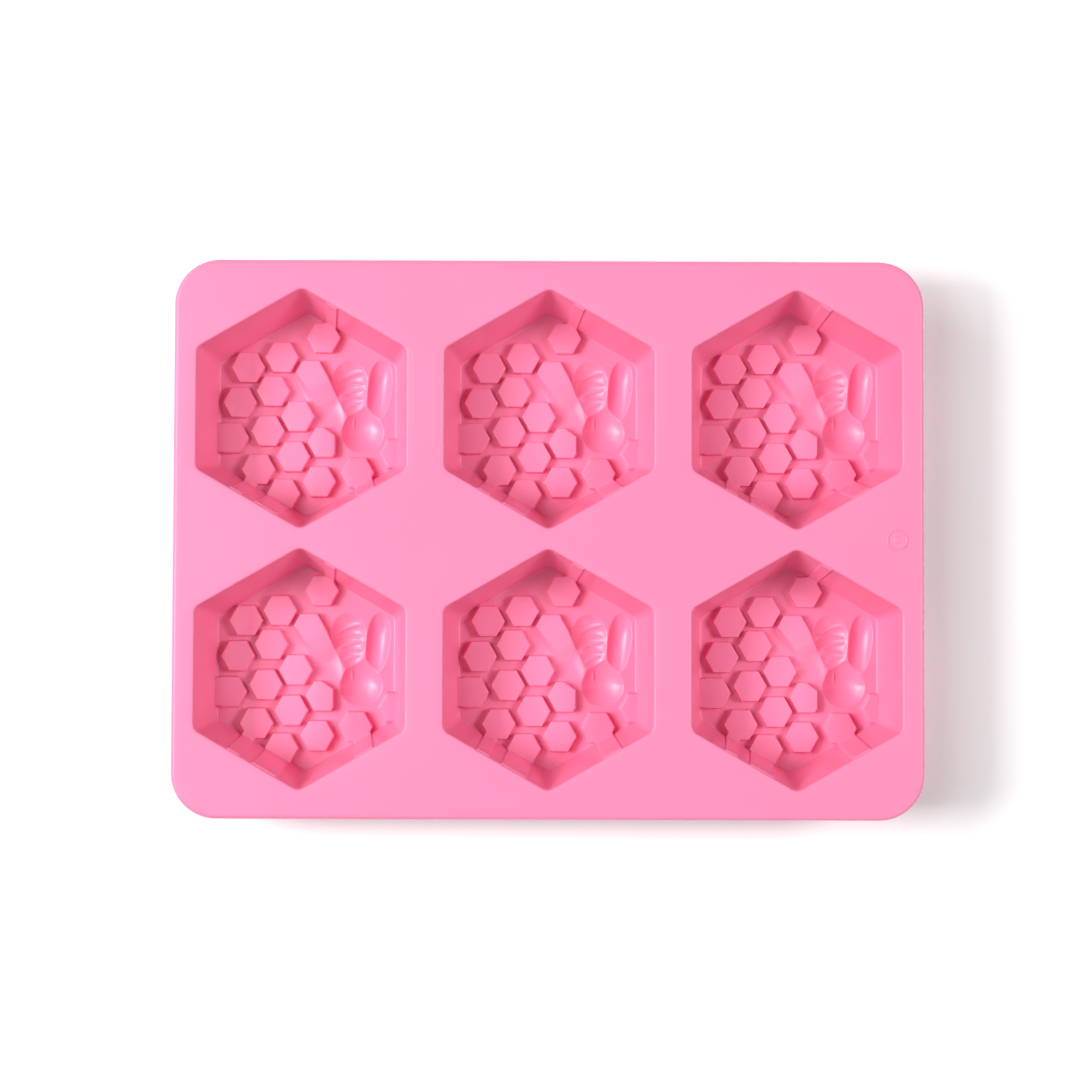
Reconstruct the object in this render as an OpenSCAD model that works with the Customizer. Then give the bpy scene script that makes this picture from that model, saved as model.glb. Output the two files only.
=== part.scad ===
// Six-cavity silicone soap mould: a flat sheet with a rim round its edge and six hexagonal cups
// under it. Each cup has a honeycomb of raised cells and a sunk bee on its floor.
// It stands on the cups' undersides. Origin: centre of the footprint, at the standing surface.
// +X is the long side, +Y points to the back row and +Z is up.

/* [Cavities] */
// Mouth of a cavity, flat to flat
cavity_af = 67; // [50:1:90]
// Depth of a cavity, from the top face to its floor
cavity_depth = 25; // [16:1:40]
// Lean of a cavity's walls from upright, in degrees
draft = 10; // [2:1:14]
// Radius of a cavity's upright corners, at the floor
corner_r = 3; // [1:0.5:6]

/* [Tray] */
// Strip of top face between cavities side by side
gap_side = 12; // [10:0.5:30]
// Strip between the point of a back cavity and the point of a front one
gap_point = 5.6; // [5:0.2:30]
// Border from a cavity's flat to the left or right edge
border_side = 7; // [6:0.5:30]
// Border from a cavity's point to the front or back edge
border_point = 8.8; // [6:0.2:30]
// Radius of the tray's four corners
outline_r = 14.5; // [8:0.5:25]
// Thickness of the top sheet
sheet_t = 2.5; // [1.5:0.1:4]
// Width of the rim under the sheet's edge
rim_w = 3; // [2:0.1:4]
// Drop of the rim below the sheet
rim_drop = 2; // [1:0.1:6]

/* [Cups] */
// Thickness of a cup's wall, measured level
wall_t = 2.5; // [1.5:0.1:3]
// Thickness of a cup's floor
floor_t = 4.5; // [3.6:0.1:8]

/* [Honeycomb] */
// Height of a cell above the floor
cell_h = 2.8; // [1:0.1:5]
// Height of the low cell at the right wall
low_cell_h = 1.6; // [0.6:0.1:3]
// Mean groove between neighbouring cells
groove_w = 2.1; // [1:0.1:4]
// Height of the step that runs up a wall above a cell's neck
wall_step = 0.4; // [0.2:0.1:1]

/* [Bee] */
// Depth of the head below the floor
head_depth = 2.4; // [1:0.1:2.5]
// Depth of the body below the floor
body_depth = 2.2; // [1:0.1:2.5]
// Depth of the wings below the floor
wing_depth = 2; // [1:0.1:2.5]
// Depth of the rings round the body
ring_depth = 0.4; // [0.2:0.1:0.6]
// Plain floor round the bee that belongs to its plot
bee_border = 0.8; // [0.4:0.1:1.5]

/* [Mark] */
// Diameter of the plain ring on the top face
mark_d = 7; // [5:0.5:9]
// Height of the ring above the top face
mark_h = 0.3; // [0.2:0.1:0.6]

/* [Hidden] */
COLUMNS = ["left", "middle", "right"];
ROWS = ["front", "back"];
PIECES = ["cup_wall", "cup_floor", "honeycomb", "bee_relief"];

$fn = 48;
slack = 1;
lean = tan(draft);
cavity_ac = cavity_af / cos(30);
pitch_x = cavity_af + gap_side;
pitch_y = cavity_ac + gap_point;
mould_w = 3 * cavity_af + 2 * (gap_side + border_side);
mould_d = 2 * cavity_ac + gap_point + 2 * border_point;
floor_z = floor_t;
deck_z = floor_t + cavity_depth;
sheet_z = deck_z - sheet_t;
floor_af = cavity_af_at(floor_z);
lip_drop = 1;
corner_steps = 5;

// The floor pattern is laid out for a floor this wide, and follows the floor's own width
layout_af = 58.2;
layout = floor_af / layout_af;
// Mean distance between rows of cells in the layout
layout_pitch = 12.2;
cell_d = layout_pitch * layout - groove_w;
cell_w = 1.06 * cell_d;

// Centres of the whole cells: first those that a neck joins to the wall, then the others
cells = [
    [5.2, 25.2], [-24.7, -7.8], [-16, -18.1], [-7.7, -26.2], [16.5, -19.2],
    [-8.5, 18.7], [-19.6, 15.4], [-11.3, 7.6], [-22.2, 3.9], [-3.2, -0.7],
    [-13, -5.5], [-4.6, -13.9], [4, -22.1], [1, 12.8]
];
// Necks of the first cells: [direction in degrees, width]
necks = [[60, 3.8], [180, 9.4], [240, 4.6], [240, 8.8], [300, 6.6]];
// Centre of the low cell at the right wall
low_cell = [28.9, -12.8];
// Centre of the cell cut short beside the bee's head, and how far its cut side is from there
short_cell = [5.6, -9.2];
short_side = 3.4;

// The bee's oval parts: [centre, half width, half length, turn in degrees]
head = [[18.1, -5.4], 6.7, 6.9, 0];
body = [[13.7, 10.2], 5.8, 9.2, 8];
right_wing = [[23.8, 8.2], 4.3, 9.5, 0];
left_wing = [[5.8, 3.6], 5.2, 9.6, 25.7];
oval_sides = 32;
// Angles round a bowl's section, from its flat bottom up to its rim
bowl_angles = [72, 48, 24, 0];
// Rings round the body: their places along it, as shares of its half length
ring_places = [-0.6, -0.3, 0, 0.3, 0.6];
ring_sides = 12;
ring_w = 1.4;
// Floor left below the bee's plot, so that a cup's underside stays whole
plot_base = 1.2;

function cup_name(piece, row, column) = str(piece, "_", ROWS[row], "_", COLUMNS[column]);
function cavity_af_at(z) = cavity_af - 2 * (deck_z - z) * lean;
function cup_af_at(z) = cavity_af_at(z) + 2 * wall_t;

// Hexagon with two upright sides and rounded corners
module rounded_hexagon(af, r) {
    polygon([
        for (side = [0 : 5], step = [0 : corner_steps])
            let (middle = 60 * side + 30, a = 60 * side + 60 * step / corner_steps)
            (af / 2 - r) / cos(30) * [cos(middle), sin(middle)] + r * [cos(a), sin(a)]
    ]);
}

// Rounded hexagon that grows from one size to another over its height
module drafted_hexagon(z_low, z_high, af_low, af_high, r_low) {
    translate([0, 0, z_low])
        linear_extrude(z_high - z_low, scale = af_high / af_low)
            rounded_hexagon(af_low, r_low);
}

// The space inside a cavity between two heights, made narrower all round by inset
module cavity_space(z_low, z_high, inset = 0) {
    low = cavity_af_at(z_low) - 2 * inset;
    high = cavity_af_at(z_high) - 2 * inset;
    drafted_hexagon(z_low, z_high, low, high, corner_r * low / (floor_af - 2 * inset));
}

// A cavity's whole hollow between two heights, less the low steps that run up its walls
// above the necks and end under the lip
module cavity_hollow(z_low, z_high) {
    difference() {
        cavity_space(z_low, z_high);
        difference() {
            translate([0, 0, floor_z + cell_h])
                linear_extrude(cavity_depth - cell_h - lip_drop) neck_outlines();
            cavity_space(floor_z - slack, deck_z + slack, wall_step);
        }
    }
}

// A cup's outer shape between two heights
module cup_shape(z_low, z_high) {
    low = cup_af_at(z_low);
    drafted_hexagon(z_low, z_high, low, cup_af_at(z_high), (corner_r + wall_t) * low / cup_af_at(floor_z));
}

module rounded_rectangle(w, d, r) {
    square([w - 2 * r, d], center = true);
    square([w, d - 2 * r], center = true);
    for (x = [-1, 1], y = [-1, 1])
        translate([x * (w / 2 - r), y * (d / 2 - r)]) circle(r);
}

module tray_outline(inset = 0) {
    rounded_rectangle(mould_w - 2 * inset, mould_d - 2 * inset, outline_r - inset);
}

module at_cavity(row, column) {
    translate([(column - 1) * pitch_x, (row - 0.5) * pitch_y, 0]) children();
}

// The sheet that joins the cups, open over each cavity
module top_sheet() {
    color("#ffa6ca")
        difference() {
            translate([0, 0, sheet_z]) linear_extrude(sheet_t) tray_outline();
            for (row = [0, 1], column = [0, 1, 2])
                at_cavity(row, column) cavity_hollow(sheet_z - slack, deck_z + slack);
        }
}

// The rim that stiffens the sheet's edge from below
module edge_rim() {
    color("#fc9cc2")
        translate([0, 0, sheet_z - rim_drop])
            linear_extrude(rim_drop)
                difference() {
                    tray_outline();
                    tray_outline(rim_w);
                }
}

// Plain ring and dot raised on the top face, between the rows at the right edge
module moulding_mark() {
    color("#fd9dbf")
        translate([(mould_w - mark_d) / 2 - border_side * 0.75, 0, deck_z])
            linear_extrude(mark_h) {
                difference() {
                    circle(d = mark_d);
                    circle(d = mark_d * 0.75);
                }
                circle(d = mark_d * 0.3);
            }
}

// A cup's leaning wall, from the floor up to the sheet
module cup_wall() {
    color("#fb86b2")
        difference() {
            cup_shape(floor_z, sheet_z);
            cavity_hollow(floor_z - slack, sheet_z + slack);
        }
}

// A cup's floor slab, with a shallow plot for the bee
module cup_floor() {
    color("#f67aa6")
        difference() {
            cup_shape(0, floor_z);
            translate([0, 0, plot_base]) linear_extrude(floor_z) bee_plot();
        }
}

module cell_outline() {
    polygon([
        [cell_w / 2, 0], [cell_w / 4, cell_d / 2], [-cell_w / 4, cell_d / 2],
        [-cell_w / 2, 0], [-cell_w / 4, -cell_d / 2], [cell_w / 4, -cell_d / 2]
    ]);
}

module at_layout(place) {
    translate([layout * place.x, layout * place.y]) children();
}

module neck_outlines() {
    for (i = [0 : len(necks) - 1])
        at_layout(cells[i]) rotate(necks[i][0])
            translate([0, -layout * necks[i][1] / 2]) square([cavity_af, layout * necks[i][1]]);
}

// The cell beside the bee's head has its right side cut off, and stops short of the left wing
module short_cell_outline() {
    difference() {
        at_layout(short_cell)
            intersection() {
                cell_outline();
                translate([short_side - cavity_af, -cavity_af / 2]) square(cavity_af);
            }
        oval(left_wing, bee_border);
    }
}

module honeycomb_outline() {
    for (place = cells) at_layout(place) cell_outline();
    neck_outlines();
    short_cell_outline();
}

// Raised cells on the floor, cut off by the walls that they meet
module honeycomb() {
    color("#fc9cc4")
        intersection() {
            translate([0, 0, floor_z]) {
                linear_extrude(cell_h) honeycomb_outline();
                linear_extrude(low_cell_h) at_layout(low_cell) cell_outline();
            }
            cavity_space(floor_z - slack, deck_z);
        }
}

// One of the bee's parts seen from above, grown all round
module oval(part, grow = 0) {
    half_w = layout * part[1] + grow;
    half_l = layout * part[2] + grow;
    at_layout(part[0]) rotate(part[3])
        polygon([
            for (i = [0 : oval_sides - 1])
                let (a = 360 * i / oval_sides)
                [half_w * cos(a), half_l * sin(a)]
        ]);
}

// Oval bowl with its rim at z = 0, and straight above it
module bowl(half_w, half_l, depth, sides) {
    rings = concat(
        [for (a = bowl_angles) [cos(a), -depth * sin(a) / sin(bowl_angles[0])]],
        [[1, slack]]
    );
    top = (len(rings) - 1) * sides;
    polyhedron(
        points = [
            for (ring = rings, i = [0 : sides - 1])
                let (a = 360 * i / sides)
                [half_w * ring[0] * cos(a), half_l * ring[0] * sin(a), ring[1]]
        ],
        faces = concat(
            [[for (i = [0 : sides - 1]) i], [for (i = [sides - 1 : -1 : 0]) top + i]],
            [
                for (base = [0 : sides : top - sides], i = [0 : sides - 1])
                    let (next = (i + 1) % sides)
                    [base + i, base + sides + i, base + sides + next, base + next]
            ]
        )
    );
}

module at_bee_part(part) {
    translate([0, 0, floor_z]) at_layout(part[0]) rotate(part[3]) children();
}

module bee_bowl(part, depth) {
    at_bee_part(part) bowl(layout * part[1], layout * part[2], depth, oval_sides);
}

// Rings pressed deeper across the body's bowl
module body_rings() {
    at_bee_part(body)
        for (place = ring_places)
            let (share = sqrt(1 - place * place))
            translate([0, layout * body[2] * place, 0])
                bowl(0.9 * layout * body[1] * share, ring_w / 2, body_depth * share + ring_depth, ring_sides);
}

module bee_plot() {
    for (part = [head, body, right_wing, left_wing]) oval(part, bee_border);
}

// The sunk bee: head, ringed body and two wings, with the cells' footing left standing
module bee_relief() {
    color("#f983ae")
        difference() {
            translate([0, 0, plot_base]) linear_extrude(floor_z - plot_base) bee_plot();
            difference() {
                union() {
                    bee_bowl(head, head_depth);
                    bee_bowl(body, body_depth);
                    body_rings();
                    bee_bowl(right_wing, wing_depth);
                    bee_bowl(left_wing, wing_depth);
                }
                linear_extrude(deck_z) honeycomb_outline();
            }
        }
}

top_sheet();
edge_rim();
moulding_mark();
for (row = [0, 1], column = [0, 1, 2]) {
    at_cavity(row, column) cup_wall();
    at_cavity(row, column) cup_floor();
    at_cavity(row, column) honeycomb();
    at_cavity(row, column) bee_relief();
}
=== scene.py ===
import bpy
import numpy as np
from mathutils import Matrix, Vector
from mathutils.geometry import delaunay_2d_cdt


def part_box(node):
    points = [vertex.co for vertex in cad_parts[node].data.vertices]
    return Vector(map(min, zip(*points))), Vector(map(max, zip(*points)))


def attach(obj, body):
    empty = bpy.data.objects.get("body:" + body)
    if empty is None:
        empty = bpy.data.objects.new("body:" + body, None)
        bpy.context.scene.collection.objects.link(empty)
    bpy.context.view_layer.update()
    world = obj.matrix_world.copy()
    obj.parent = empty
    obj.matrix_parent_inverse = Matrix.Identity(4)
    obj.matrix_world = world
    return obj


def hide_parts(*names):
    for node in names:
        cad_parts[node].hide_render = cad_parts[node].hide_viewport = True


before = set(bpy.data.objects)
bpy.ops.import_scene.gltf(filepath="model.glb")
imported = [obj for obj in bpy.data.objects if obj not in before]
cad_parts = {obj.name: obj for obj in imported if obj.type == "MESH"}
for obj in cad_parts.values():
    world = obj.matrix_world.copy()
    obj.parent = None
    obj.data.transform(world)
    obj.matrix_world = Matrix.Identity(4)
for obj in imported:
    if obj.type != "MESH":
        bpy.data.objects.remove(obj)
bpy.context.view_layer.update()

# ---------------------------------------------------------------------------------------------
# Cup walls
# Each cup has six flat walls of pink silicone that lean outwards, so that a bar slips out when
# its cup is pushed. They are moulded in one with the sheet above and the floor below, and a low
# step runs up the inside above each cell that a neck joins to the wall, except at the left.
CUPS = [row + "_" + column for row in ("front", "back") for column in ("left", "middle", "right")]


def corners_mm(node):
    """Lowest and highest corners of a CAD node, turned from metres to millimetres."""
    return [1000 * np.array(corner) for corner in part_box(node)]


sheet_low, sheet_high = corners_mm("top_sheet")
wall_low, wall_high = corners_mm("cup_wall_front_left")
slab_low, slab_high = corners_mm("cup_floor_front_left")
deck_z, sheet_z, floor_z = sheet_high[2], sheet_low[2], slab_high[2]
wall_t = 2.5
floor_half = (slab_high[0] - slab_low[0]) / 2 - wall_t
lean = ((wall_high[0] - wall_low[0]) / 2 - wall_t - floor_half) / (sheet_z - floor_z)
# Places on the floor are given for a floor this wide, and scaled to the real one
drawn_width = 58.2
layout = 2 * floor_half / drawn_width
cup_centres = {cup: sum(corners_mm("cup_floor_" + cup)) / 2 for cup in CUPS}

# The cells that a neck joins to the wall: centre, then the neck's direction and width
necked_cells = [
    ((5.2, 25.2), 60, 3.8),
    ((-24.7, -7.8), 180, 9.4),
    ((-16.0, -18.1), 240, 4.6),
    ((-7.7, -26.2), 240, 8.8),
    ((16.5, -19.2), 300, 6.6),
]
cell_height = 2.8
step_proud = 0.4
step_edge = 0.17
plain_side = 3
step_top = deck_z - 1.0
wall_seam = floor_z + 1.7
even_run = 13.0
inner_corner = 3.0
outer_corner = 5.5
sheet_fillet = 1.0


def compass(degrees):
    """Cosine and sine of an angle in degrees, as the last axis of an array."""
    turn = np.radians(degrees)
    return np.stack([np.cos(turn), np.sin(turn)], -1)


def ease(x):
    """Three times x squared less twice x cubed, with x held between 0 and 1."""
    x = np.clip(x, 0, 1)
    return x * x * (3 - 2 * x)


neck_sides, neck_places, neck_halves = [], [], []
for (u, v), turn, width in necked_cells:
    across = compass(turn + 90)
    neck_sides.append(turn // 60)
    neck_places.append(layout * (u * across[0] + v * across[1]))
    neck_halves.append(layout * width / 2)

# One place for each point round a cavity: its side, how far along the side it is, the share
# that it takes of the side's stretch near a corner, and its turn round the corner's arc
point_side, point_run, point_share, point_bend = [], [], [], []
for k in range(6):
    here = [place + sign * half + nudge
            for s, place, half in zip(neck_sides, neck_places, neck_halves) if s == k
            for sign in (-1, 1)
            for nudge in (-step_edge, -0.1, -0.035, 0.035, 0.1, step_edge)]
    even = np.unique(np.round(np.concatenate([np.linspace(-even_run, even_run, 25), here]), 4))
    near, arc = np.linspace(0, 1, 7)[1:], np.linspace(0, 60, 15)[1:-1]
    point_run.append(np.concatenate([0 * near - even_run, even, 0 * near + even_run, 0 * arc + even_run]))
    point_share.append(np.concatenate([-near[::-1], 0 * even, near, 0 * arc + 1]))
    point_bend.append(np.concatenate([0 * near, 0 * even, 0 * near, arc]))
    point_side.append(np.full(len(point_run[-1]), k))
point_side, point_run, point_share, point_bend = (
    np.concatenate(part) for part in (point_side, point_run, point_share, point_bend))
step_share = sum(
    (point_side == s) * ease((half + step_edge - abs(point_run - place)) / (2 * step_edge))
    for s, place, half in zip(neck_sides, neck_places, neck_halves) if s != plain_side
)


def hexagon_loop(half, corner, z, steps=0.0):
    """Points round a hexagon with arcs for corners. A point on a side is half out from the
    middle and its own run along, stretched near the ends to meet the arc. A point on an arc is
    half less the corner's radius out, then that radius at its own bend. The steps go inwards."""
    turn = compass(point_bend)
    out = half - corner + corner * turn[:, 0] - steps * step_share
    along = point_run + point_share * ((half - corner) * np.tan(np.pi / 6) - even_run)
    along = along + corner * turn[:, 1]
    n = compass(60 * point_side)
    return np.stack([out * n[:, 0] - along * n[:, 1], out * n[:, 1] + along * n[:, 0],
                     np.full(len(point_run), z)], -1)


def half_width(z):
    """Half the distance between a cavity's opposite walls at a height."""
    return floor_half + (z - floor_z) * lean


def inner_loop(z, inset=0.0, steps=0.0):
    """The cavity's wall at a height, drawn in by an inset. Its corners grow with its width."""
    half = half_width(z)
    return hexagon_loop(half - inset, inner_corner * half / floor_half - inset, z, steps)


def outer_loop(z, grow=0.0):
    """The cup's outside at a height, grown by some more."""
    half = half_width(z) + wall_t
    corner = outer_corner * half / (floor_half + wall_t)
    return hexagon_loop(half + grow, corner + grow, z)


def fillet(radius, count=7):
    """Rises and standoffs of an arc between a level face and a leaning wall. The arc starts on
    the level face and turns until it runs along the wall: its rise is the radius less the
    radius times the turn's cosine, and its standoff is measured level from the wall."""
    turn = np.linspace(0, np.pi / 2 - np.arctan(lean), count)
    rise = radius * (1 - np.cos(turn))
    return list(zip(rise, radius * (np.tan(turn[-1] / 2) - np.sin(turn)) + rise * lean))


def skin(loops, ends="open"):
    """Four-sided faces between each loop of points and the next. The ends are joined to each
    other, or the first, the last or both are capped by a fan round a middle point."""
    loops = np.asarray(loops)
    rows, count = loops.shape[:2]
    j = np.arange(count)
    following = (j + 1) % count
    row = np.arange(rows if ends == "joined" else rows - 1)[:, None] * count
    above = (row + count) % (rows * count)
    quads = np.stack([row + j, row + following, above + following, above + j], -1).reshape(-1, 4)
    points = np.concatenate([loops.reshape(-1, 3), loops[[0, -1]].mean(1)])
    fans = [np.zeros((0, 3), int)]
    if ends in ("first capped", "both capped"):
        fans.append(np.stack([following, j, 0 * j + rows * count], -1))
    if ends in ("last capped", "both capped"):
        last = (rows - 1) * count
        fans.append(np.stack([last + j, last + following, 0 * j + rows * count + 1], -1))
    return points, quads, np.concatenate(fans)


def make_piece(name, skins, material, nodes, crease=38):
    """Makes one object of the skins. Points that skins share are merged, so that it is closed."""
    starts = np.cumsum([0] + [len(points) for points, _, _ in skins])
    points = np.concatenate([points for points, _, _ in skins])
    _, kept, merged = np.unique(np.round(points * 2e3).astype(np.int64), axis=0,
                                return_index=True, return_inverse=True)
    merged = merged.reshape(-1)
    quads = merged[np.concatenate([quads + at for (_, quads, _), at in zip(skins, starts)])]
    fans = merged[np.concatenate([fans + at for (_, _, fans), at in zip(skins, starts)])]
    used, order = np.unique(np.concatenate([quads.ravel(), fans.ravel()]), return_inverse=True)
    mesh = bpy.data.meshes.new(name)
    mesh.vertices.add(len(used))
    mesh.vertices.foreach_set("co", (points[kept[used]] * 0.001).astype(np.float32).ravel())
    mesh.loops.add(len(order))
    mesh.loops.foreach_set("vertex_index", order.reshape(-1).astype(np.int32))
    mesh.polygons.add(len(quads) + len(fans))
    mesh.polygons.foreach_set("loop_start", np.concatenate(
        [4 * np.arange(len(quads)), quads.size + 3 * np.arange(len(fans))]).astype(np.int32))
    mesh.update(calc_edges=True)
    mesh.validate()
    mesh.shade_smooth()
    mesh.set_sharp_from_angle(angle=np.radians(crease))
    mesh.materials.append(material)
    piece = bpy.data.objects.new(name, mesh)
    bpy.context.collection.objects.link(piece)
    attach(piece, "root")
    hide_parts(*nodes)
    return piece


def moved(skins, cup):
    """The same skins about a cup's centre."""
    shift = cup_centres[cup] * [1, 1, 0]
    return [(points + shift, quads, fans) for points, quads, fans in skins]


def linear(colour):
    """A hex colour from sRGB to linear: above a small value, (c + 0.055) / 1.055 to the 2.4."""
    c = np.array([int(colour[i:i + 2], 16) for i in (1, 3, 5)]) / 255
    return (*np.where(c > 0.04045, ((c + 0.055) / 1.055) ** 2.4, c / 12.92), 1.0)


def add_node(material, kind, settings=None, links=None):
    """Adds a node of a kind, sets its sockets or properties, and links outputs to its inputs."""
    node = material.node_tree.nodes.new(kind)
    for key, value in (settings or {}).items():
        if isinstance(key, int) or key in node.inputs:
            node.inputs[key].default_value = value
        else:
            setattr(node, key, value)
    for key, output in (links or {}).items():
        material.node_tree.links.new(output, node.inputs[key])
    return node


def moulded_silicone(name, roughness, grain):
    """Platinum-cured silicone as it comes from a steel die: a soft matt to satin skin, a little
    uneven in shade where the pigment clouds, with the die's fine grain on it."""
    material = bpy.data.materials.new(name)
    material.use_nodes = True
    tree = material.node_tree
    shader = tree.nodes["Principled BSDF"]
    shader.inputs["IOR"].default_value = 1.41
    place = add_node(material, "ShaderNodeTexCoord").outputs["Object"]
    # Pigment clouds about 40 mm across
    cloud = add_node(material, "ShaderNodeTexNoise", {"Scale": 25.0, "Detail": 2.0}, {"Vector": place})
    pinks = add_node(material, "ShaderNodeMix",
                     {"data_type": "RGBA", 6: linear("#f785ac"), 7: linear("#f98bb1")},
                     {0: cloud.outputs["Fac"]})
    tree.links.new(pinks.outputs[2], shader.inputs["Base Color"])
    # Handling leaves patches a few millimetres across that shine a little more
    patches = add_node(material, "ShaderNodeTexNoise", {"Scale": 180.0, "Detail": 3.0}, {"Vector": place})
    shine = add_node(material, "ShaderNodeMapRange", {3: roughness - 0.05, 4: roughness + 0.05},
                     {0: patches.outputs["Fac"]})
    tree.links.new(shine.outputs[0], shader.inputs["Roughness"])
    # The die's grain is 0.1 mm or finer, and is drawn 0.5 mm across so that it shows
    grains = add_node(material, "ShaderNodeTexNoise", {"Scale": 2000.0, "Detail": 2.0}, {"Vector": place})
    relief = add_node(material, "ShaderNodeBump", {"Strength": grain, "Distance": 0.00005},
                      {"Height": grains.outputs["Fac"]})
    tree.links.new(relief.outputs["Normal"], shader.inputs["Normal"])
    return material


satin_silicone = moulded_silicone("silicone_satin_moulded", 0.38, 0.2)
smooth_silicone = moulded_silicone("silicone_smooth_moulded", 0.3, 0.1)

inside = [inner_loop(z, 0, step_proud * ease((z - wall_seam - 0.3) / 0.4))
          for z in (sheet_z, 20, 14, wall_seam + 0.7, wall_seam + 0.5, wall_seam + 0.3, wall_seam)]
outside = [outer_loop(z) for z in (wall_seam, 12, 20)]
outside += [outer_loop(sheet_z - rise, standoff) for rise, standoff in reversed(fillet(sheet_fillet))]
for cup in CUPS:
    make_piece("cup_wall_" + cup, moved([skin(inside + outside, "joined")], cup),
               smooth_silicone, ["cup_wall_" + cup])

# ---------------------------------------------------------------------------------------------
# Cup floors
# Each cup's floor is a thick slab of the same silicone that the cup stands on. A fillet joins it
# to the wall inside, its outer edge is rounded, and a plot on its right is left for the bee.
foot_radius = 0.6
edge_radius = 1.5
grid_pitch = 2.6
grid_room = 1.2
plot_z = 1.2
plot_middle = (15.0, 5.0)
plot_border = 0.3

# The bee's bowls: where the deepest point is, the turn, the reach from there to each side, how
# square each side is, and how much narrower the bowl gets towards its front and its back
head = dict(middle=(17.6, -5.3), turn=0, left=6.6, right=7.3, front=7.0, back=8.4, depth=2.7,
            left_power=2.2, right_power=2.2, back_taper=0.3)
body = dict(middle=(13.8, 11.0), turn=8, left=5.8, right=5.6, front=13.0, back=6.8, depth=2.3,
            front_taper=0.25)
right_wing = dict(middle=(23.5, 9.2), turn=-6, left=3.8, right=3.9, front=11.0, back=8.9, depth=2.2,
                  left_power=2.4, right_power=2.2)
left_wing = dict(middle=(5.8, 4.9), turn=25.7, left=5.6, right=3.9, front=10.6, back=13.0, depth=0.9,
                 left_power=2.1, right_power=2.3)
# The left wing starts as a raised cell, and slopes along this line to reach the floor's level
wing_cell = (1.0, 12.8)
wing_line = (0.434, -0.901)
wing_level = 10.1
wing_slope = 0.5
wing_softness = 0.3
# How far from the cup's middle the level part of the floor ends, at its sides
level_reach = 28.3


def oval_share(u, v, middle, turn, left, right, front, back, depth,
               left_power=2.0, right_power=2.0, front_taper=0.0, back_taper=0.0):
    """Share of the way from a bowl's deepest point to its rim, with the distances across and
    along. Each distance is divided by the bowl's reach on that side and raised to the side's
    power, and the share is the sum's root of the same power."""
    c, s = compass(turn)
    x = (u - middle[0]) * c + (v - middle[1]) * s
    y = (v - middle[1]) * c - (u - middle[0]) * s
    power = np.where(x < 0, left_power, right_power)
    along = abs(y) / np.where(y < 0, front, back)
    taper = np.where(y < 0, front_taper, back_taper)
    wide = np.where(x < 0, left, right) * (1 - taper * np.minimum(along, 1.5))
    return ((abs(x) / wide) ** power + along ** power) ** (1 / power), x, y


def way_down(u, v):
    """How far a point is along the left wing from the middle of its cell."""
    return (u - wing_cell[0]) * wing_line[0] + (v - wing_cell[1]) * wing_line[1]


def wing_ramp(u, v):
    """Height of the left wing above the floor: it falls evenly along its line, and bends softly
    to the height of a cell at its start."""
    fall = wing_slope * (wing_level - way_down(u, v))
    return cell_height - 0.5 * np.logaddexp(0, (cell_height - fall) / 0.5)


def floor_margin(u, v):
    """Distance inside the level part of the floor: the least distance to its six sides, softened
    where two sides are equally near."""
    sides = compass(np.arange(6) * 60)
    away = level_reach - np.multiply.outer(u, sides[:, 0]) - np.multiply.outer(v, sides[:, 1])
    return -0.4 * np.logaddexp.reduce(-away / 0.4, axis=-1)


def plot_outline(count=480, samples=400):
    """Outline of the bee's plot: along each ray from its middle, the last point within the border
    of a bowl, or of the left wing where it is near the floor's level or below it."""
    rays = compass(np.arange(count) * 360 / count)
    reach = np.linspace(3, 24, samples)
    u = plot_middle[0] + rays[:, :1] * reach
    v = plot_middle[1] + rays[:, 1:] * reach
    away = []
    for bowl in (head, body, right_wing, left_wing):
        part, x, y = oval_share(u, v, **bowl)
        away.append(np.hypot(x, y) * (1 - 1 / np.maximum(part, 1e-6)))
    away[-1] = np.maximum(away[-1], wing_level - 1.5 - way_down(u, v))
    away = np.maximum(np.min(away, 0) - plot_border, -floor_margin(u, v))
    last = samples - 1 - np.argmax(away[:, ::-1] < 0, 1)
    rows = np.arange(count)
    near, far = away[rows, last], away[rows, np.minimum(last + 1, samples - 1)]
    reach = reach[last] + (reach[1] - reach[0]) * near / (near - far)
    blend = np.hanning(15)[1:-1]
    return np.convolve(np.concatenate([reach[-6:], reach, reach[:6]]), blend / blend.sum(), "valid")


plot_reach = plot_outline()


def plot_loop(share, z):
    """The plot's outline drawn in towards its middle, at a height."""
    rays = compass(np.arange(len(plot_reach)) * 360 / len(plot_reach))
    points = layout * (np.array(plot_middle) + rays * plot_reach[:, None] * share)
    return np.concatenate([points, np.full((len(points), 1), z)], -1)


def within(points, a, b):
    """Whether a line to the right of each point crosses the sides, which go from the points a to
    the points b, an odd number of times."""
    x, y = points[..., :1], points[..., 1:2]
    rise = np.where(b[:, 1] == a[:, 1], 1e-9, b[:, 1] - a[:, 1])
    crossed = ((a[:, 1] > y) != (b[:, 1] > y)) & (
        x < a[:, 0] + (y - a[:, 1]) * (b[:, 0] - a[:, 0]) / rise)
    return crossed.sum(-1) % 2 == 1


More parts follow.
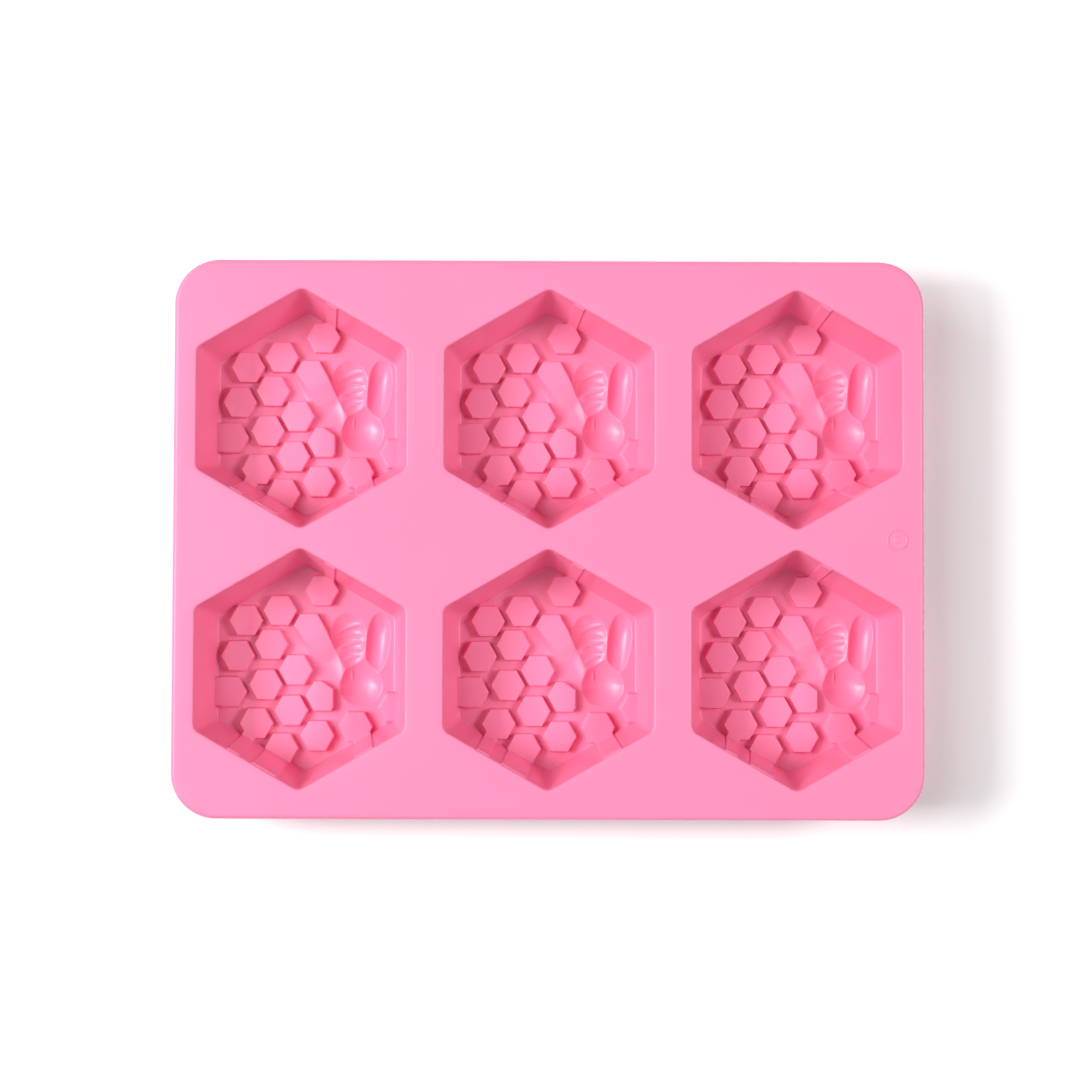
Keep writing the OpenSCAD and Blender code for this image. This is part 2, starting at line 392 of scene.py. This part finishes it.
def level_face(outer, holes, up):
    """Triangles over the level area between an outer loop and the holes in it, with a grid of
    points where there is room for one. Triangles that touch the grid are kept, and then those
    that share a side with a kept one, unless the side is a loop's."""
    loops = [outer, *holes]
    points = np.concatenate(loops)
    starts = np.cumsum([0] + [len(loop) for loop in loops])
    edges = np.concatenate([np.stack([np.arange(n), (np.arange(n) + 1) % n], -1) + at
                            for at, n in zip(starts, map(len, loops))])
    grid = [np.arange(low + grid_pitch / 2, high, grid_pitch)
            for low, high in zip(outer.min(0)[:2], outer.max(0)[:2])]
    grid = np.stack(np.meshgrid(*grid), -1).reshape(-1, 2)
    near = np.concatenate([np.linalg.norm(part[:, None] - points[:, :2], axis=-1).min(1)
                           for part in np.array_split(grid, 1 + len(grid) // 200)])
    grid = grid[(near > grid_room) & within(grid, points[edges[:, 0], :2], points[edges[:, 1], :2])]
    points = np.concatenate([points, np.concatenate([grid, 0 * grid[:, :1] + outer[0, 2]], -1)])
    _, _, found, source, _, _ = delaunay_2d_cdt(points[:, :2].tolist(), edges.tolist(), [], 0, 1e-6)
    triangles = np.array([group[0] for group in source])[np.array(found)]
    sides = np.sort(triangles[:, [[0, 1], [1, 2], [2, 0]]].reshape(-1, 2), 1) @ [len(points), 1]
    free = ~np.isin(sides, np.sort(edges, 1) @ [len(points), 1])
    kept = (triangles >= starts[-1]).any(1)
    grown = np.zeros_like(kept)
    while not (grown == kept).all():
        grown = kept
        kept = kept | (free & np.isin(sides, sides[free & np.repeat(kept, 3)])).reshape(-1, 3).any(1)
    triangles = triangles[kept]
    return points, np.zeros((0, 4), int), triangles if up else triangles[:, ::-1]


under = [outer_loop(rise, -standoff) for rise, standoff in fillet(edge_radius)]
shell = [under[0] * [share, share, 1] for share in (0.02, 0.5)] + under
shell += [outer_loop(z) for z in (3.0, wall_seam)] + [inner_loop(wall_seam)]
shell += [inner_loop(floor_z + rise, standoff) for rise, standoff in reversed(fillet(foot_radius))]
pocket = [plot_loop(1, floor_z), plot_loop(1, plot_z), plot_loop(0.02, plot_z)]
for cup in CUPS:
    slab = [skin(shell, "first capped"), level_face(shell[-1], pocket[:1], True),
            skin(pocket, "last capped")]
    make_piece("cup_floor_" + cup, moved(slab, cup), smooth_silicone, ["cup_floor_" + cup])

# ---------------------------------------------------------------------------------------------
# Bee relief
# A bee is pressed into each floor, and comes out raised on the bar. Its head, its ringed body and
# its right wing are bowls with crisp rims, and its left wing is a slope that starts as a cell.
bowl_power = 2.1
rim_softness = 0.06
bowl_softness = 0.1
margin_fade = 1.2
# Ribs across the body: how far along it from its deepest point, and their slope
ribs = [(2.1, 0.28), (-0.6, -0.14), (-3.2, 0.22), (-5.6, -0.14), (-7.7, 0.2)]
rib_height = 0.75
rib_reach = 0.6
rib_bow = 0.03
rib_fade = 2.2
head_crease = (15.0, -2.6)
crease_size = (0.35, 1.5)
crease_height = 0.25
wing_edge = 0.45
soft_width = 1.4
soft_growth = 0.3
under_cell = 0.4
# The left wing's raised part: its sides with crisp edges, then its side with a soft one, and
# the line where it meets the floor between their ends
crisp_side = np.array([(9.72, 5.79), (6.45, 12.85), (3.77, 17.7), (-1.77, 17.7), (-4.5, 12.8)])
soft_side = np.array([(-4.5, 12.8), (-1.9, 7.75), (1.06, 1.62)])
tongue = np.concatenate([crisp_side, soft_side[1:]])


def sides_away(points, sides):
    """Least distance from points to a row of sides."""
    a, b = sides[:-1], sides[1:]
    p = points[..., None, :]
    share = np.clip(((p - a) * (b - a)).sum(-1) / ((b - a) ** 2).sum(-1), 0, 1)
    return np.linalg.norm(p - a - share[..., None] * (b - a), axis=-1).min(-1)


def wing_top(points):
    """Height of the left wing's raised part above the floor: its slope, less a quarter circle at
    the crisp edges, and eased down to the floor over a width that grows along the soft side."""
    width = soft_width + soft_growth * np.maximum(soft_side[0, 1] - points[..., 1], 0)
    soft = ease(sides_away(points, soft_side) / width)
    inward = np.maximum(wing_edge - sides_away(points, crisp_side), 0)
    crisp = wing_edge - np.sqrt(wing_edge ** 2 - inward ** 2)
    return np.maximum(wing_ramp(points[..., 0], points[..., 1]) * soft - crisp, 0)


def bee_height(u, v):
    """Height of the bee's floor. A bowl's depth is its full depth times one less its share to a
    power, and the deepest bowl counts, with the rims and the edges between bowls softened. Ribs
    across the body are low, with narrow tops and hollow sides. The left wing follows its slope
    down to its bowl, and its raised part goes on a little way under the cell that covers it."""
    bowls = []
    for bowl in (head, body, right_wing, left_wing):
        part, x, y = oval_share(u, v, **bowl)
        deep = bowl["depth"] * (1 - part ** bowl_power)
        if bowl is body:
            for place, slope in ribs:
                away = y - place - slope * x + rib_bow * x * x
                ridge = np.exp(-np.sqrt(away ** 2 + 0.02) / rib_reach)
                deep = deep - rib_height * ridge * ease(rib_fade * (1 - part))
        if bowl is head:
            crease = np.exp(-((u - head_crease[0]) / crease_size[0]) ** 2
                            - ((v - head_crease[1]) / crease_size[1]) ** 2)
            deep = deep - crease_height * crease
        if bowl is left_wing:
            deep = -wing_softness * np.logaddexp(-deep / wing_softness, wing_ramp(u, v) / wing_softness)
        bowls.append(deep)
    deepest = bowl_softness * np.logaddexp.reduce(np.array(bowls) / bowl_softness, axis=0)
    sunk = -rim_softness * np.logaddexp(0, deepest / rim_softness)
    sunk = sunk * ease(floor_margin(u, v) / margin_fade)
    points = np.stack([u, v], -1)
    covered = within(points, tongue, np.roll(tongue, -1, 0))
    return sunk + np.where(covered, np.clip(wing_top(points), 0, under_cell), 0)


plug = [plot_loop(0.02, plot_z), plot_loop(1, plot_z), plot_loop(1, floor_z)]
for share in np.linspace(1, 0, 92)[1:-1]:
    loop = plot_loop(share, floor_z)
    plug.append(loop + bee_height(*loop[:, :2].T / layout)[:, None] * [0, 0, 1])
for cup in CUPS:
    make_piece("bee_relief_" + cup, moved([skin(plug, "both capped")], cup),
               smooth_silicone, ["bee_relief_" + cup], crease=60)

# ---------------------------------------------------------------------------------------------
# Honeycomb
# Sixteen six-sided cells stand on each floor, and press the hollows of a honeycomb into the bar.
# Five are joined to the wall by necks, one at the right wall is low, one beside the bee is cut
# short, and one runs into the bee's left wing.
cell_deep, cell_wide = 9.9 * layout, 11.1 * layout
slant = np.degrees(np.arctan2(cell_wide / 4, cell_deep / 2))
slant_half = cell_wide / 2 * np.cos(np.radians(slant))
cell_sides = [(90, cell_deep / 2), (270, cell_deep / 2)]
cell_sides += [(turn, slant_half) for turn in (slant, 180 - slant, 180 + slant, 360 - slant)]
whole_cells = [(-8.5, 18.7), (-19.6, 15.4), (-11.3, 7.6), (-22.2, 3.9), (-3.2, -0.7),
               (-13.0, -5.5), (-4.6, -13.9), (4.0, -22.1)]
low_cell = (28.9, -12.8)
low_height = 1.6
short_cell = (5.6, -9.2)
short_sides = [(0, 3.5), (54.7, 3.9)]
top_radius = 0.45
low_radius = 1.0
short_buried = 2.2
into_wall = 1.2
neck_blend = 40
cell_points = 168
cell_rays = np.arange(cell_points) * 360 / cell_points


def flat_sided(sides, grow=0.0, softness=70):
    """Reach along each ray of a shape with flat sides and softly rounded corners: each side's
    reach is its distance over the ray's cosine to it, and the reaches are put together as the
    sum of their inverses to a high power, to the inverse of that power."""
    turns, distances = np.array(sides, float).T
    share = np.maximum(np.cos(np.radians(cell_rays[:, None] - turns)), 1e-9) / (distances + grow)
    return (share ** softness).sum(1) ** (-1 / softness)


def cell_skin(place, height, radius, sides, neck=None, buried=0.3):
    """A raised cell, from under the floor out to its foot, up its flank, over its rounded edge
    and in to its middle. A neck's reach joins the cell's by a high power, and both stop a little
    inside the wall."""
    place = layout * np.array(place)
    walls = 60 * np.arange(6)
    facing = compass(walls)
    wall = floor_half + into_wall - facing[:, 0] * place[0] - facing[:, 1] * place[1]
    limit = flat_sided(list(zip(walls, wall)), softness=60)
    arc = np.radians(np.linspace(0, 90, 7))
    profile = [(0.3, -buried), (0.3, -0.015), (0.17, 0.05), (0.09, 0.15), (0.05, 0.32)]
    profile += list(zip(-radius * (1 - np.cos(arc)), height - radius * (1 - np.sin(arc))))
    loops = []
    for grow, z in profile:
        reach = flat_sided(sides, grow)
        if neck:
            turn, half = neck
            strip = [(turn, 60), (turn + 90, half), (turn - 90, half), (turn + 180, 1.5)]
            strip = flat_sided(strip, grow)
            reach = (reach ** neck_blend + strip ** neck_blend) ** (1 / neck_blend)
        reach = np.minimum(reach, limit)
        loops.append(np.concatenate([place + compass(cell_rays) * reach[:, None],
                                     np.full((len(cell_rays), 1), floor_z + z)], -1))
    middle = np.append(place, 0)
    shrink = [0.1, 0.1, 1]
    loops = [middle + (loops[0] - middle) * shrink, *loops, middle + (loops[-1] - middle) * shrink]
    return skin(loops, "both capped")


cells = [cell_skin(place, cell_height, top_radius, cell_sides, (turn, layout * width / 2))
         for place, turn, width in necked_cells]
cells += [cell_skin(place, cell_height, top_radius, cell_sides) for place in whole_cells]
cells += [cell_skin(low_cell, low_height, low_radius, cell_sides),
          cell_skin(short_cell, cell_height, top_radius, cell_sides + short_sides,
                    buried=short_buried)]

# The cell that runs into the left wing: along each ray from its middle, its outline is the last
# point within its sides
tongue_middle = np.array([2.6, 9.6])
tongue_rays = compass(np.arange(300) * 360 / 300)
tries = np.linspace(0.5, 14, 2700)
held = within(tongue_middle + tongue_rays[:, None] * tries[:, None], tongue, np.roll(tongue, -1, 0))
tongue_reach = tries[len(tries) - 1 - np.argmax(held[:, ::-1], 1)][:, None]


def tongue_loop(reach, lift=0.012):
    """Points of that cell at a reach along each ray, with the wing's height."""
    points = tongue_middle + tongue_rays * reach
    return np.concatenate([layout * points, floor_z + lift + wing_top(points)[:, None]], -1)


steps_in = (0, 0.02, 0.05, 0.09, 0.14, 0.2, 0.28, 0.36, 0.46, 0.7, 1.0)
top = [tongue_loop(tongue_reach - step) for step in steps_in]
top += [tongue_loop((tongue_reach - 1.0) * share) for share in np.linspace(1, 0, 24)[1:-1]]
base = top[0] * [1, 1, 0] + [0, 0, floor_z - 0.3]
middle = np.append(layout * tongue_middle, 0)
cells.append(skin([middle + (base - middle) * [0.1, 0.1, 1], base, *top], "both capped"))
for cup in CUPS:
    make_piece("honeycomb_" + cup, moved(cells, cup), smooth_silicone, ["honeycomb_" + cup], crease=45)

# ---------------------------------------------------------------------------------------------
# Top sheet
# The flat sheet that joins the six cups is moulded in one with them. Its edge is rounded over,
# each cavity's lip is softly rounded, and the steps on the walls end just under the lips.
tray_corner = 14.5
sheet_edge = 1.4
lip_radius = 0.8
sheet_middle, sheet_size = (sheet_low + sheet_high) / 2, (sheet_high - sheet_low) / 2


def tray_loop(inset, z):
    """Points round the tray's outline, drawn in by an inset: a quarter circle at each corner."""
    quarter = np.linspace(0, 90, 25)
    loop = []
    for k, (x, y) in enumerate(((1, 1), (-1, 1), (-1, -1), (1, -1))):
        middle = sheet_middle[:2] + (sheet_size[:2] - tray_corner) * [x, y]
        loop.append(middle + (tray_corner - inset) * compass(quarter + 90 * k))
    loop = np.concatenate(loop)
    return np.concatenate([loop, np.full((len(loop), 1), z)], -1)


turn = np.radians(np.linspace(90, 0, 9))
rounded = [tray_loop(sheet_edge * (1 - np.sin(a)), deck_z - sheet_edge * (1 - np.cos(a))) for a in turn]
border = [tray_loop(0, sheet_z), *rounded]
lip = [inner_loop(deck_z - drop, -standoff) for drop, standoff in fillet(lip_radius)]
lip += [inner_loop(z, 0, step_proud * ease((step_top + 0.25 - z) / 0.4))
        for z in [step_top + rise for rise in (0.25, 0.15, 0.05, -0.05, -0.15)] + [sheet_z]]
mouths = [moved([skin(lip)], cup)[0] for cup in CUPS]
upper = [lip[0] + cup_centres[cup] * [1, 1, 0] for cup in CUPS]
lower = [lip[-1] + cup_centres[cup] * [1, 1, 0] for cup in CUPS]
make_piece("top_sheet", [skin(border), *mouths, level_face(border[-1], upper, True),
                         level_face(border[0], lower, False)], satin_silicone, ["top_sheet"])

# ---------------------------------------------------------------------------------------------
# Edge rim
# A bead of silicone under the sheet's edge stiffens it, so that a full mould can be carried.
# Its lower edges are rounded.
rim_low = corners_mm("edge_rim")[0]
rim_width = 3.0
bead = 0.9
inner_side = [tray_loop(rim_width - bead * (1 - np.cos(a)), rim_low[2] + bead * (1 - np.sin(a)))
              for a in turn[::-1]]
outer_side = [tray_loop(bead * (1 - np.cos(a)), rim_low[2] + bead * (1 - np.sin(a))) for a in turn]
make_piece("edge_rim", [skin([tray_loop(rim_width, sheet_z), *inner_side, *outer_side,
                              tray_loop(0, sheet_z)], "joined")], satin_silicone, ["edge_rim"])

# ---------------------------------------------------------------------------------------------
# Moulding mark
# A plain ring and dot that the die leaves standing on the sheet, between the rows at the right.
# Both are low, with rounded edges.
mark_low, mark_high = corners_mm("moulding_mark")
mark_middle = (mark_low + mark_high) / 2
mark_half = (mark_high[0] - mark_low[0]) / 2
mark_rise = mark_high[2] - mark_low[2]
mark_sink = 0.1
mark_points = 96


def mark_loop(radius, z):
    """A circle about the mark's middle, at a height above the sheet."""
    points = mark_middle[:2] + radius * compass(np.arange(mark_points) * 360 / mark_points)
    return np.concatenate([points, np.full((mark_points, 1), deck_z + z)], -1)


half_ring = mark_half * 0.125
ring = [mark_loop(mark_half - half_ring, -mark_sink), mark_loop(mark_half, -mark_sink)]
ring += [mark_loop(mark_half - half_ring * (1 - np.cos(a)), mark_rise * np.sin(a))
         for a in np.radians(np.linspace(0, 180, 17))]
ring += [mark_loop(mark_half - 2 * half_ring, -mark_sink)]
dot_half = mark_half * 0.3
dot = [mark_loop(0.02, -mark_sink), mark_loop(dot_half, -mark_sink)]
dot += [mark_loop(dot_half * np.cos(a), mark_rise * np.sin(a)) for a in np.radians(np.linspace(0, 88, 9))]
make_piece("moulding_mark", [skin(ring, "joined"), skin(dot, "both capped")],
           satin_silicone, ["moulding_mark"])

# ---------------------------------------------------------------------------------------------
# Table, lights and camera
# The mould lies on a plain white table. Three soft lights stand on its left: the main one, one
# further back and one higher. Weaker ones on its right and in front fill the shadows.
table_white = bpy.data.materials.new("table_white_matt")
table_white.use_nodes = True
paper = table_white.node_tree.nodes["Principled BSDF"]
paper.inputs["Base Color"].default_value = linear("#fbfbfb")
paper.inputs["Roughness"].default_value = 0.9
table = bpy.data.meshes.new("table")
table.from_pydata([(-4, -4, 0), (4, -4, 0), (4, 4, 0), (-4, 4, 0)], [], [(0, 1, 2, 3)])
table.materials.append(table_white)
table = bpy.data.objects.new("table", table)
bpy.context.collection.objects.link(table)

room = bpy.data.worlds.new("white_room")
room.use_nodes = True
room.node_tree.nodes["Background"].inputs["Color"].default_value = (1, 1, 1, 1)
room.node_tree.nodes["Background"].inputs["Strength"].default_value = 0.03
bpy.context.scene.world = room


def aim(place, target, roll=0.0):
    """A place and turn that look from one point to another with the picture's top to the back:
    the right axis is the view crossed with the back, and the top is the right crossed with the
    view."""
    view = (Vector(target) - Vector(place)).normalized()
    right = view.cross(Vector((0, 1, 0))).normalized()
    turn = Matrix((right, right.cross(view), -view)).transposed()
    return Matrix.Translation(place) @ (turn @ Matrix.Rotation(roll, 3, "Z")).to_4x4()


def add_light(name, place, power):
    """A square soft light, half a metre wide, that faces the mould."""
    lamp = bpy.data.lights.new(name, "AREA")
    lamp.size = 0.5
    lamp.energy = power
    lamp = bpy.data.objects.new(name, lamp)
    lamp.matrix_world = aim(place, (0, 0, 0.02))
    bpy.context.collection.objects.link(lamp)


add_light("key_left", (-1.11, 0.0, 1.0), 17.2)
add_light("key_upper_left", (-0.97, 0.56, 1.0), 5.5)
add_light("key_high_left", (-0.63, 0.0, 1.36), 4.8)
add_light("fill_right", (1.11, 0.1, 1.0), 11.4)
add_light("fill_front", (0.45, -0.98, 1.0), 2.5)

camera = bpy.data.cameras.new("camera")
camera.sensor_width = 36
camera.lens = 79.9
camera = bpy.data.objects.new("camera", camera)
camera.matrix_world = aim((-0.007, -0.03, 0.7905), (-0.0028, -0.00035, 0.0295), np.radians(0.2))
bpy.context.collection.objects.link(camera)
bpy.context.scene.camera = camera
bpy.context.scene.view_settings.view_transform = "Standard"

bpy.context.view_layer.update()
